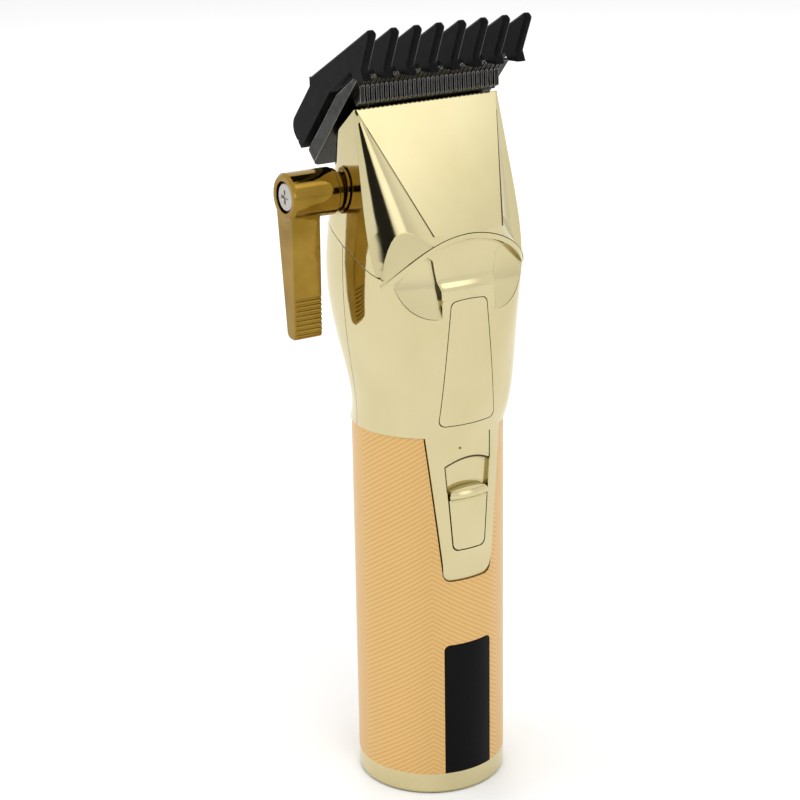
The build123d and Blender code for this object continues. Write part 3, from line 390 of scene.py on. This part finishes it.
grey = finish_surface(
    "grey_plastic",
    GREY_DARK,
    GREY,
    roughness=(0.40, 0.55),
    metallic=0.0,
    scale=0.2,
    grain=3.0,
    depth=0.02 * MM,
)
motor = finish_surface(
    "zinc_plated",
    STEEL_DARK,
    STEEL,
    roughness=(0.25, 0.45),
    metallic=1.0,
    scale=0.4,
    grain=2.0,
    depth=0.01 * MM,
    stretch=(1, 1, 0.1),
)
cell = finish_surface(
    "cell_wrap",
    CELL_DARK,
    CELL,
    roughness=(0.20, 0.32),
    metallic=0.0,
    scale=0.1,
    grain=1.0,
    depth=0.01 * MM,
)
sleeve = lined_sleeve()
fixed_steel = ground_blade("fixed_blade_steel")
cutter_steel = ground_blade("cutter_blade_steel")
board = printed_board()
# Painted shadow finish for the dark lines and walls in steps and gaps
painted_shadow = finish_surface(
    "seam_shadow",
    SHADOW_LINE_DARK,
    SHADOW_LINE_TONE,
    roughness=(0.40, 0.55),
    metallic=0.6,
    scale=0.4,
    grain=3.0,
    depth=0.005 * MM,
)

looks = {
    "base_cap": plated,
    "front_shell": plated,
    "rear_shell": plated,
    "head_cover": plated,
    "thumb_plate": plated,
    "power_switch": plated,
    "grip_sleeve": sleeve,
    "display_window": window,
    "taper_lever": deep,
    "lever_bush": deep,
    "drive_eccentric": deep,
    "lever_screw": steel,
    "lever_shaft": steel,
    "shell_screws": steel,
    "motor_screws": steel,
    "motor_shaft": steel,
    "drive_pin": steel,
    "blade_screws": steel,
    "tension_spring": steel,
    "comb_clip": steel,
    "charge_socket": steel,
    "fixed_blade": fixed_steel,
    "cutter_blade": cutter_steel,
    "guide_comb": black,
    "display_module": black,
    "switch_block": black,
    "cutter_carriage": black,
    "chassis": grey,
    "motor_bracket": grey,
    "head_frame": grey,
    "cutter_yoke": grey,
    "motor_can": motor,
    "blade_bracket": motor,
    "battery_cell": cell,
    "main_board": board,
}
for name, node in nodes.items():
    node.data.materials.clear()
    node.data.materials.append(looks[name].material)
    node.data.shade_smooth()
    node.data.set_sharp_from_angle(angle=SMOOTH_ANGLE)
# The plated shield shows no mirror image of the comb
nodes["guide_comb"].visible_glossy = False

# Pieces that only the looks need. Their sizes are in millimetres, in the frame of the CAD

# Thumb dish and the arch over it
DISH_Z = 140.0
DISH_SWEEP = 68.0
DISH_RADIUS = 32.46
DISH_AXIS_Y = 50.7
ARCH_Z = 124.5
ARCH_RADIUS = 23.5
RIM_RADIUS = 22.08
SPINE_Y = -19.70
SPINE_CURVE = 0.0066

# Raised middle of the dish
PANEL_LOW = 132.4
PANEL_HALF = 7.4
PANEL_HALF_TOP = 8.7
PANEL_WIDEN_Z = 134.0
PANEL_FLARE_Z = 141.4
PANEL_MEET_Z = 143.2
PANEL_TOP_GAP = 0.3
PANEL_TOP = ARCH_Z + RIM_RADIUS - PANEL_TOP_GAP
PANEL_RISE = 0.95
PANEL_PROUD = 0.04
PANEL_SINK = 0.30
PANEL_ROUND = 0.35
PANEL_ROUND_STEPS = 4
PANEL_ROWS = 80
PANEL_HALF_COLUMNS = 10
SLOPE_LOW = 134.5
SLOPE_HIGH = 137.0

# Head cover's shoulder and the left cheek facet
SHOULDER_Y = 0.35
SHOULDER_DEPTH = 19.95
SHOULDER_HALF = 22.0
SHOULDER_SQUARENESS = 3.3
FACET_TIP = Vector((-19.6, -1.5, 176.7))
FACET_FRONT = Vector((-9.5, -19.6, 148.1))
FACET_SIDE = Vector((-21.6, -11.0, 139.0))
FACET_HOLLOW = radians(25)
FLARE_SPAN = 7.6
FLARE_SPAN_LEAST = 0.8
FLARE_HEIGHT = 3.1
FLARE_POWER = 1.7
FLARE_SINK = 0.03
FLARE_DEEP = 0.40
FLARE_START = radians(24.8)
FLARE_END = radians(59.8)
FLARE_COLUMNS = 40
FLARE_ROWS = 14

# Painted shadow lines
LINE_SIDES = 12
SHIELD_SHADOW_START = 5.0
SHIELD_SHADOW_END = 35.0
SHIELD_SHADOW_THIN = 0.05
SHIELD_SHADOW_THICK = 0.16

# Painted shadow line along the lower edge of a finger hollow, with turns about the dish's middle
# from straight down
RIM_START = radians(34.5)
RIM_END = radians(78.5)
RIM_NEAR = 14.2
RIM_FAR = 20.0
RIM_MATCH = 0.04
RIM_HALVINGS = 24
RIM_STEPS = 28
RIM_THIN = 0.03
RIM_THICK = 0.085
FRONT_Y = -60.0

# Switch well
TONGUE_RADIUS = 19.4
WELL_FLOOR_Y = -17.1
WELL_HALF = 6.75
WELL_TOP = 92.6
# Arched lip of the well, with painted shadow along its lower edge
LIP_APEX = 92.0
LIP_DROP = 1.9
LIP_HALF = 6.3
LIP_HEIGHT = 0.6
LIP_DEPTH = 0.32
LIP_SKIN = 0.05
LIP_COLUMNS = 32
WELL_LOW = 67.4
WELL_HALF_LOW = 4.7
WELL_SLOPE = 0.08
# Painted shadow lines at the well's walls
WALL_LINE_LOW = 83.2
WALL_LINE_HIGH = 89.9
CORNER_X = -6.5
CORNER_LINE_HIGH = 97.0
CORNER_LINE_STEPS = 6
WELL_LINE_RADIUS = 0.13

# Charge light
DOT_PLACE = Vector((-2.68, -19.21, 94.46))
DOT_NORMAL = Vector((-0.14, -0.99, 0))
DOT_RADIUS = 0.34
DOT_HEIGHT = 0.12
DOT_SEGMENTS = 24
DOT_RINGS = 12


def add_piece(name, shape, *surfaces):
    """Object made from a finished bmesh, with its materials, carried by the housing."""
    bmesh.ops.recalc_face_normals(shape, faces=shape.faces)
    mesh = bpy.data.meshes.new(name)
    shape.to_mesh(mesh)
    shape.free()
    for surface in surfaces:
        mesh.materials.append(surface.material)
    mesh.shade_smooth()
    mesh.set_sharp_from_angle(angle=SMOOTH_ANGLE)
    piece = bpy.data.objects.new(name, mesh)
    bpy.context.scene.collection.objects.link(piece)
    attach(piece, "housing")


def closed_strip(rows, second=()):
    """Solid skinned over closed loops of points, with a second material on some strips."""
    shape = bmesh.new()
    loops = [[shape.verts.new(Vector(point) * MM) for point in row] for row in rows]
    for low, high in zip(loops, loops[1:]):
        for step in range(len(low)):
            after = (step + 1) % len(low)
            face = shape.faces.new((low[step], low[after], high[after], high[step]))
            face.material_index = int(step in second)
    shape.faces.new(list(reversed(loops[0])))
    shape.faces.new(loops[-1])
    return shape


def tongue_y(x):
    """Depth of the tongue's skin at a distance from its middle."""
    return -sqrt(TONGUE_RADIUS**2 - x**2)


def dish_y(x, z):
    """Depth of the dish's surface at a place seen from the front."""
    ring = DISH_SWEEP + DISH_RADIUS - sqrt(DISH_RADIUS**2 - (z - DISH_Z) ** 2)
    return DISH_AXIS_Y - sqrt(ring**2 - x**2)


def panel_y(x, z):
    """Depth of the panel's face: level with the spine at its foot, then a slope into the dish."""
    part = min(1, max(0, (z - SLOPE_LOW) / (SLOPE_HIGH - SLOPE_LOW)))
    eased = part * part * (3 - 2 * part)
    level = SPINE_Y + SPINE_CURVE * x**2 - PANEL_PROUD
    return level + (dish_y(x, z) - PANEL_RISE - level) * eased


def panel_half_width(z):
    """Half width of the panel: upright sides that flare to the arch near the top."""
    rim = sqrt(RIM_RADIUS**2 - (z - ARCH_Z) ** 2)
    if z >= PANEL_MEET_Z:
        return rim
    if z <= PANEL_FLARE_Z:
        part = max(0, z - PANEL_WIDEN_Z) / (PANEL_FLARE_Z - PANEL_WIDEN_Z)
        return PANEL_HALF + (PANEL_HALF_TOP - PANEL_HALF) * part
    part = (z - PANEL_FLARE_Z) / (PANEL_MEET_Z - PANEL_FLARE_Z)
    return PANEL_HALF_TOP + (rim - PANEL_HALF_TOP) * (1 - sqrt(1 - part**2))


def dish_panel():
    """Raised middle of the thumb dish, between its two finger hollows, round along its sides, with
    painted shadow on its side walls.
    """
    quarter = [step * pi / (2 * PANEL_ROUND_STEPS) for step in range(PANEL_ROUND_STEPS + 1)]
    insets = [PANEL_ROUND * (1 - cos(turn)) for turn in quarter]
    rows = []
    for row in range(PANEL_ROWS + 1):
        z = PANEL_LOW + (PANEL_TOP - PANEL_LOW) * row / PANEL_ROWS
        half = panel_half_width(z)
        inner = half - PANEL_ROUND
        xs = [-half + inset for inset in insets]
        columns = range(1 - PANEL_HALF_COLUMNS, PANEL_HALF_COLUMNS)
        xs += [inner * column / PANEL_HALF_COLUMNS for column in columns]
        xs += [half - inset for inset in reversed(insets)]
        line = []
        for x in xs:
            edge = min(1, (half - abs(x)) / PANEL_ROUND)
            drop = PANEL_ROUND * (1 - sqrt(1 - (1 - edge) ** 2))
            line.append((x, panel_y(x, z) + drop, z))
        rows.append(line + [(x, dish_y(x, z) + PANEL_SINK, z) for x in (half, -half)])
    # The side walls take the painted shadow finish
    walls = len(xs) - 1, len(xs) + 1
    add_piece("dish_panel", closed_strip(rows, walls), plated, painted_shadow)


def facet_axis():
    """Direction of the hollow cone that the left cheek facet is cut with."""
    front = (FACET_FRONT - FACET_TIP).normalized()
    side = (FACET_SIDE - FACET_TIP).normalized()
    middle = (front + side).normalized()
    outward = side.cross(front).normalized()
    return middle * cos(FACET_HOLLOW) + outward * sin(FACET_HOLLOW)


def facet_flare(name, side):
    """Foot of a cheek facet, swept out to the edge of the arch."""
    axis = facet_axis()
    slant = axis.angle(FACET_FRONT - FACET_TIP)
    rows = []
    for column in range(FLARE_COLUMNS + 1):
        turn = FLARE_START + (FLARE_END - FLARE_START) * column / FLARE_COLUMNS
        x, z = -ARCH_RADIUS * sin(turn), ARCH_Z + ARCH_RADIUS * cos(turn)
        filled = (abs(x) / SHOULDER_HALF) ** SHOULDER_SQUARENESS
        reach = (1 - filled) ** (1 / SHOULDER_SQUARENESS)
        edge = Vector((x, SHOULDER_Y - SHOULDER_DEPTH * reach, z)) - FACET_TIP
        outward = (edge - axis * edge.dot(axis)).normalized()
        along = axis * cos(slant) + outward * sin(slant)
        normal = axis * sin(slant) - outward * cos(slant)
        length, height = edge.dot(along), max(0, edge.dot(normal))
        span = max(FLARE_SPAN_LEAST, FLARE_SPAN * height / FLARE_HEIGHT)
        line = []
        for row in range(FLARE_ROWS + 1):
            part = row / FLARE_ROWS
            rise = height * part**FLARE_POWER - FLARE_SINK * (1 - part)
            line.append(FACET_TIP + along * (length - span * (1 - part)) + normal * rise)
        line.append(FACET_TIP + along * length - normal * FLARE_DEEP)
        line.append(FACET_TIP + along * (length - span) - normal * FLARE_DEEP)
        rows.append([(side * point.x, point.y, point.z) for point in line])
    add_piece(name, closed_strip(rows), plated)


def shadow_line(name, side, points, radii):
    """Painted shadow line along points on the left, or in their mirror image where the side is -1.
    """
    rows = []
    for step, (point, radius) in enumerate(zip(points, radii)):
        along = points[min(step + 1, len(points) - 1)] - points[max(step - 1, 0)]
        across = along.cross(Vector((0, 1, 0))).normalized()
        third = along.cross(across).normalized()
        ring = []
        for corner in range(LINE_SIDES):
            turn = 2 * pi * corner / LINE_SIDES
            place = point + (across * cos(turn) + third * sin(turn)) * radius
            ring.append((side * place.x, place.y, place.z))
        rows.append(ring)
    add_piece(name, closed_strip(rows), painted_shadow)


def shield_edge_shadow(name, side):
    """Painted shadow line along one slanted edge of the shield, thicker towards its lower corner.
    """
    along = (FACET_FRONT - FACET_TIP).normalized()
    points = [FACET_TIP + along * length for length in (SHIELD_SHADOW_START, SHIELD_SHADOW_END)]
    shadow_line(name, side, points, (SHIELD_SHADOW_THIN, SHIELD_SHADOW_THICK))


def shell_point(x, z):
    """Place on the front shell at a point seen from the front."""
    start = Vector((x, FRONT_Y, z)) * MM
    _, place, _, _ = nodes["front_shell"].ray_cast(start, Vector((0, 1, 0)))
    return place / MM


def rim_point(turn):
    """Place on the front shell where the dish's surface runs out."""
    low, high = RIM_NEAR, RIM_FAR
    for _ in range(RIM_HALVINGS):
        reach = (low + high) / 2
        x, z = -reach * sin(turn), DISH_Z - reach * cos(turn)
        place = shell_point(x, z)
        if abs(place.y - dish_y(x, z)) < RIM_MATCH:
            low = reach
        else:
            high = reach
    return place


def dish_rim_shadow(name, side):
    """Painted shadow line along the lower edge of one finger hollow, thin at both ends."""
    parts = [step / RIM_STEPS for step in range(RIM_STEPS + 1)]
    points = [rim_point(RIM_START + (RIM_END - RIM_START) * part) for part in parts]
    radii = [RIM_THIN + (RIM_THICK - RIM_THIN) * sin(pi * part) for part in parts]
    shadow_line(name, side, points, radii)


def well_lip():
    """Arched head of the switch well, just under the tongue's skin, with painted shadow along its
    lower edge.
    """
    columns = []
    for column in range(LIP_COLUMNS + 1):
        x = WELL_HALF * (2 * column / LIP_COLUMNS - 1)
        skin = tongue_y(x)
        top = LIP_APEX - LIP_DROP * (x / LIP_HALF) ** 2
        bottom = top - LIP_HEIGHT
        columns.append(
            [
                (x, WELL_FLOOR_Y, bottom),
                (x, skin + LIP_DEPTH, bottom),
                (x, skin + LIP_DEPTH, top),
                (x, skin + LIP_SKIN, top),
                (x, skin + LIP_SKIN, WELL_TOP),
                (x, WELL_FLOOR_Y, WELL_TOP),
            ]
        )
    # The lower strips take the painted shadow finish
    add_piece("well_lip", closed_strip(columns, (0, 1, 2)), plated, painted_shadow)


def well_lines():
    """Painted shadow line down the left wall of the well, and a short one that runs up from its
    right corner.
    """
    wall = []
    for z in (WALL_LINE_LOW, WALL_LINE_HIGH):
        x = WELL_HALF_LOW + WELL_SLOPE * (z - WELL_LOW)
        wall.append(Vector((-x, tongue_y(x), z)))
    shadow_line("well_line_left", 1, wall, [WELL_LINE_RADIUS] * len(wall))
    corner = [Vector((CORNER_X, tongue_y(CORNER_X), WALL_LINE_HIGH))]
    rise = (CORNER_LINE_HIGH - WALL_LINE_HIGH) / CORNER_LINE_STEPS
    for step in range(1, CORNER_LINE_STEPS + 1):
        corner.append(shell_point(CORNER_X, WALL_LINE_HIGH + rise * step))
    shadow_line("well_line_right", -1, corner, [WELL_LINE_RADIUS] * len(corner))


def status_dot():
    """Small lens of the charge light, above the switch."""
    shape = bmesh.new()
    bmesh.ops.create_uvsphere(shape, u_segments=DOT_SEGMENTS, v_segments=DOT_RINGS, radius=1)
    flat = Matrix.Diagonal((DOT_RADIUS * MM, DOT_RADIUS * MM, DOT_HEIGHT * MM, 1))
    turn = DOT_NORMAL.to_track_quat("Z", "Y").to_matrix().to_4x4()
    move = Matrix.Translation(DOT_PLACE * MM)
    bmesh.ops.transform(shape, matrix=move @ turn @ flat, verts=shape.verts)
    add_piece("status_dot", shape, deep)


dish_panel()
for side_name, side in (("left", 1), ("right", -1)):
    facet_flare("facet_flare_" + side_name, side)
    shield_edge_shadow("shield_edge_shadow_" + side_name, side)
    dish_rim_shadow("dish_rim_shadow_" + side_name, side)
well_lip()
well_lines()
status_dot()

# Floor, light and camera
FLOOR_RADIUS = 6.0
FLOOR_SEGMENTS = 96
# Soft lights: name, place, size, power
LIGHT_TARGET = Vector((0, 0, 0.11))
LIGHTS = (
    ("key", (-0.10, -0.75, 1.15), 0.5, 3),
    ("fill", (-0.9, 0.35, 0.6), 0.4, 1.2),
    ("back", (0.5, 0.8, 0.7), 0.6, 2),
)
ROOM_LIGHT = 1.04
# Soft patches of the room: direction, full within, gone beyond, light added
PATCHES = (
    ((-0.54, -0.82, 0.19), radians(12.5), radians(17), -1.02),
    ((0.42, -0.50, 0.756), radians(4), radians(11.5), 0.85),
    ((-0.87, -0.48, 0.09), radians(4), radians(13), 0.60),
    ((0.486, 0.18, 0.855), radians(16), radians(20), -1.02),
)
CAMERA_PLACE = Vector((-0.260655, -0.420946, 0.273060))
CAMERA_RIGHT = Vector((0.85444, -0.51934, -0.01566))
CAMERA_UP = Vector((0.1833, 0.27311, 0.94439))
CAMERA_BACK = Vector((-0.48617, -0.80977, 0.32854))
CAMERA_LENS = 94.33
CAMERA_SENSOR = 36

floor_mesh = bpy.data.meshes.new("floor")
shape = bmesh.new()
bmesh.ops.create_circle(shape, cap_ends=True, radius=FLOOR_RADIUS, segments=FLOOR_SEGMENTS)
shape.to_mesh(floor_mesh)
shape.free()
floor = bpy.data.objects.new("floor", floor_mesh)
bpy.context.scene.collection.objects.link(floor)
paper = finish_surface(
    "floor_paper",
    FLOOR,
    FLOOR,
    roughness=(0.75, 0.85),
    metallic=0.0,
    scale=0.01,
    grain=0.5,
    depth=0.01 * MM,
)
floor_mesh.materials.append(paper.material)

for name, place, size, power in LIGHTS:
    data = bpy.data.lights.new(name, "AREA")
    data.size = size
    data.energy = power
    light = bpy.data.objects.new(name, data)
    # The plating shows no mirror image of the lamps
    light.visible_glossy = False
    light.location = place
    light.rotation_euler = (LIGHT_TARGET - Vector(place)).to_track_quat("-Z", "Y").to_euler()
    bpy.context.scene.collection.objects.link(light)

# White room with two dark panels and two soft boxes for the plated faces to mirror
world = bpy.data.worlds.new("studio")
world.use_nodes = True
room = world.node_tree
direction = room.nodes.new("ShaderNodeTexCoord").outputs["Generated"]
level = None
for toward, inner, outer, added in PATCHES:
    facing = room.nodes.new("ShaderNodeVectorMath")
    facing.operation = "DOT_PRODUCT"
    facing.inputs[1].default_value = Vector(toward).normalized()
    room.links.new(direction, facing.inputs[0])
    patch = room.nodes.new("ShaderNodeMapRange")
    patch.interpolation_type = "SMOOTHSTEP"
    patch.inputs["From Min"].default_value = cos(outer)
    patch.inputs["From Max"].default_value = cos(inner)
    patch.inputs["To Max"].default_value = added
    room.links.new(facing.outputs["Value"], patch.inputs["Value"])
    total = room.nodes.new("ShaderNodeMath")
    total.inputs[0].default_value = ROOM_LIGHT
    if level:
        room.links.new(level, total.inputs[0])
    room.links.new(patch.outputs["Result"], total.inputs[1])
    level = total.outputs[0]
room.links.new(level, room.nodes["Background"].inputs["Color"])
bpy.context.scene.world = world
bpy.context.scene.view_settings.view_transform = "Standard"

camera_data = bpy.data.cameras.new("camera")
camera_data.sensor_width = CAMERA_SENSOR
camera_data.lens = CAMERA_LENS
camera = bpy.data.objects.new("camera", camera_data)
camera_axes = Matrix((CAMERA_RIGHT, CAMERA_UP, CAMERA_BACK)).transposed().to_4x4()
camera.matrix_world = Matrix.Translation(CAMERA_PLACE) @ camera_axes
bpy.context.scene.collection.objects.link(camera)
bpy.context.scene.camera = camera

bpy.context.view_layer.update()
